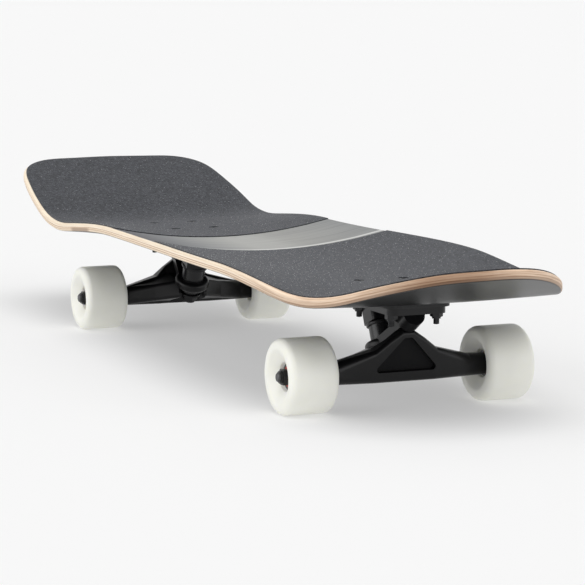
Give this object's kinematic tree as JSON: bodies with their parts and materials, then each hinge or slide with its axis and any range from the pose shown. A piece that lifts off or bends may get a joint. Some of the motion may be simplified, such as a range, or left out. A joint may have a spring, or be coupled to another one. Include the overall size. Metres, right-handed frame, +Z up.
{
  "type": "longboard skateboard",
  "caption": "Longboard skateboard: a double-kick concave deck with grip tape on two leaning kingpin trucks with soft urethane wheels on ball bearings.",
  "frame": {"origin": "on the ground, under the middle of the deck's length and width", "axes": "+X to the nose, +Y to the left of a rider facing the nose, +Z up"},
  "size_m": [0.9306, 0.2548, 0.1575],
  "materials": {
    "deck_maple": "clear lacquer",
    "grip": "coarse grit",
    "riser_plastic": "matte",
    "black_casting": "satin black coat",
    "pivot_cup_plastic": "matte",
    "black_steel": "black oxide",
    "bushing_urethane": "matte",
    "axle_steel": "plain steel",
    "bearing_steel": "polished",
    "cage_plastic": "matte",
    "shield_rubber": "matte",
    "wheel_urethane": "satin"
  },
  "bodies": {
    "board": {"deck": "deck_maple", "front_grip_tape": "grip", "rear_grip_tape": "grip", "front_riser_pad": "riser_plastic", "front_baseplate": "black_casting", "front_pivot_cup": "pivot_cup_plastic", "front_kingpin": "black_steel", "front_kingpin_nut": "black_steel", "front_upper_bushing": "bushing_urethane", "front_lower_bushing": "bushing_urethane", "front_bushing_washers": "black_steel", "front_deck_bolts": "black_steel", "front_lock_nuts": "black_steel", "rear_riser_pad": "riser_plastic", "rear_baseplate": "black_casting", "rear_pivot_cup": "pivot_cup_plastic", "rear_kingpin": "black_steel", "rear_kingpin_nut": "black_steel", "rear_upper_bushing": "bushing_urethane", "rear_lower_bushing": "bushing_urethane", "rear_bushing_washers": "black_steel", "rear_deck_bolts": "black_steel", "rear_lock_nuts": "black_steel"},
    "front_truck": {"front_hanger": "black_casting", "front_axle": "axle_steel", "front_axle_nuts": "black_steel", "front_speed_washers": "axle_steel", "front_bearing_inner_rings": "bearing_steel", "front_bearing_spacers": "bearing_steel"},
    "front_left_wheel_set": {"front_left_wheel": "wheel_urethane", "front_left_bearing_outer_rings": "bearing_steel", "front_left_bearing_balls": "bearing_steel", "front_left_bearing_cages": "cage_plastic", "front_left_bearing_shields": "shield_rubber"},
    "front_right_wheel_set": {"front_right_wheel": "wheel_urethane", "front_right_bearing_outer_rings": "bearing_steel", "front_right_bearing_balls": "bearing_steel", "front_right_bearing_cages": "cage_plastic", "front_right_bearing_shields": "shield_rubber"},
    "rear_truck": {"rear_hanger": "black_casting", "rear_axle": "axle_steel", "rear_axle_nuts": "black_steel", "rear_speed_washers": "axle_steel", "rear_bearing_inner_rings": "bearing_steel", "rear_bearing_spacers": "bearing_steel"},
    "rear_left_wheel_set": {"rear_left_wheel": "wheel_urethane", "rear_left_bearing_outer_rings": "bearing_steel", "rear_left_bearing_balls": "bearing_steel", "rear_left_bearing_cages": "cage_plastic", "rear_left_bearing_shields": "shield_rubber"},
    "rear_right_wheel_set": {"rear_right_wheel": "wheel_urethane", "rear_right_bearing_outer_rings": "bearing_steel", "rear_right_bearing_balls": "bearing_steel", "rear_right_bearing_cages": "cage_plastic", "rear_right_bearing_shields": "shield_rubber"}
  },
  "joints": [
    {"name": "front_truck_lean", "type": "hinge", "parent": "board", "child": "front_truck", "pos_m": [0.267, 0, 0.047], "axis": [0.848, 0, 0.5299], "range_deg": [-13, 13], "stiffness_Nm_per_rad": 60, "deforming": ["front_upper_bushing", "front_lower_bushing"]},
    {"name": "front_left_wheel_spin", "type": "hinge", "parent": "front_truck", "child": "front_left_wheel_set", "pos_m": [0.297, 0.0905, 0.032], "axis": [0, 1, 0], "continuous": true},
    {"name": "front_right_wheel_spin", "type": "hinge", "parent": "front_truck", "child": "front_right_wheel_set", "pos_m": [0.297, -0.0905, 0.032], "axis": [0, 1, 0], "continuous": true},
    {"name": "rear_truck_lean", "type": "hinge", "parent": "board", "child": "rear_truck", "pos_m": [-0.198, 0, 0.047], "axis": [-0.848, 0, 0.5299], "range_deg": [-13, 13], "stiffness_Nm_per_rad": 60, "deforming": ["rear_upper_bushing", "rear_lower_bushing"]},
    {"name": "rear_left_wheel_spin", "type": "hinge", "parent": "rear_truck", "child": "rear_left_wheel_set", "pos_m": [-0.228, 0.0905, 0.032], "axis": [0, 1, 0], "continuous": true},
    {"name": "rear_right_wheel_spin", "type": "hinge", "parent": "rear_truck", "child": "rear_right_wheel_set", "pos_m": [-0.228, -0.0905, 0.032], "axis": [0, 1, 0], "continuous": true}
  ]
}
